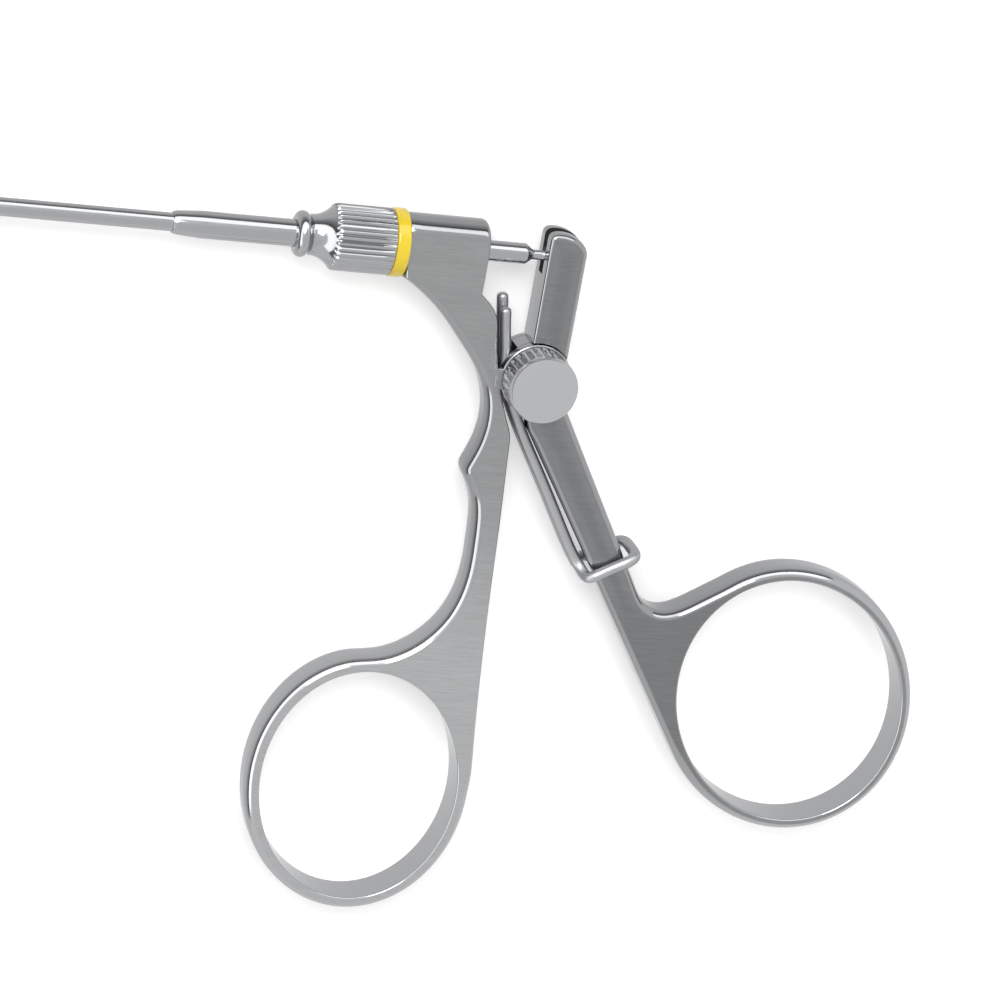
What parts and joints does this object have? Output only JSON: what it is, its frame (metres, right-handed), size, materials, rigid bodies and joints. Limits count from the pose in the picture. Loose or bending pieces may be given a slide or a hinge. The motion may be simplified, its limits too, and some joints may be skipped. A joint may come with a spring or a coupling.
{
  "type": "laparoscopic grasper",
  "caption": "Laparoscopic grasper with a long thin shaft, small opening jaws, a turning wheel and a sprung scissor handle with a finger ring and a thumb ring.",
  "frame": {"origin": "on the shaft axis at the front edge of the reinforcing sleeve, where the bare tube goes in", "axes": "+X along the shaft towards the hand, +Y from the finger rings up to the shaft, +Z out of the side with the pivot screw's knurled head"},
  "size_m": [0.339, 0.1112, 0.0134],
  "materials": {
    "satin_steel": "satin brushed",
    "bright_steel": "turned and polished",
    "spring_steel": "drawn wire, polished",
    "yellow_ring": "glossy",
    "bearing_polymer": "matte",
    "seal_rubber": "matte"
  },
  "bodies": {
    "handle": {"fixed_handle": "satin_steel", "barrel_bush": "bearing_polymer", "rod_gland": "bright_steel", "rod_seal": "seal_rubber"},
    "lever": {"lever": "satin_steel", "pivot_bush": "bearing_polymer", "return_spring": "spring_steel"},
    "pivot_screw": {"pivot_screw": "bright_steel"},
    "shaft": {"rotation_wheel": "bright_steel", "colour_ring": "yellow_ring", "wheel_hub": "bright_steel", "shaft_sleeve": "bright_steel", "outer_tube": "bright_steel", "jaw_clevis": "bright_steel", "jaw_pivot_pin": "bright_steel", "hub_seal": "seal_rubber", "retaining_clip": "spring_steel"},
    "rod": {"drive_rod": "bright_steel", "rod_end": "bright_steel", "drive_pin": "bright_steel"},
    "upper_jaw": {"upper_jaw": "bright_steel"},
    "lower_jaw": {"lower_jaw": "bright_steel"}
  },
  "joints": [
    {"name": "lever_hinge", "type": "hinge", "parent": "handle", "child": "lever", "pos_m": [0.057, -0.0182, 0], "axis": [0, 0, -1], "range_deg": [0, 7.5], "stiffness_Nm_per_rad": 1.2, "springref_deg": -6.88, "deforming": ["return_spring"]},
    {"name": "shaft_turn", "type": "hinge", "parent": "handle", "child": "shaft", "pos_m": [0.0333, 0, 0], "axis": [1, 0, 0], "continuous": true},
    {"name": "rod_slide", "type": "slide", "parent": "shaft", "child": "rod", "axis": [1, 0, 0], "range_m": [0, 0.0025]},
    {"name": "upper_jaw_hinge", "type": "hinge", "parent": "shaft", "child": "upper_jaw", "pos_m": [-0.2, 0, 0], "axis": [0, 0, 1], "range_deg": [0, 20]},
    {"name": "lower_jaw_hinge", "type": "hinge", "parent": "shaft", "child": "lower_jaw", "pos_m": [-0.2, 0, 0], "axis": [0, 0, 1], "range_deg": [-20, 0]},
    {"name": "screw_turn", "type": "hinge", "parent": "handle", "child": "pivot_screw", "pos_m": [0.057, -0.0182, 0], "axis": [0, 0, 1], "continuous": true}
  ],
  "couplings": [
    {"joint": "rod_slide", "follows": "lever_hinge", "m_per_rad": 0.018404},
    {"joint": "upper_jaw_hinge", "follows": "lever_hinge", "ratio": 2.6667},
    {"joint": "lower_jaw_hinge", "follows": "lever_hinge", "ratio": -2.6667}
  ]
}
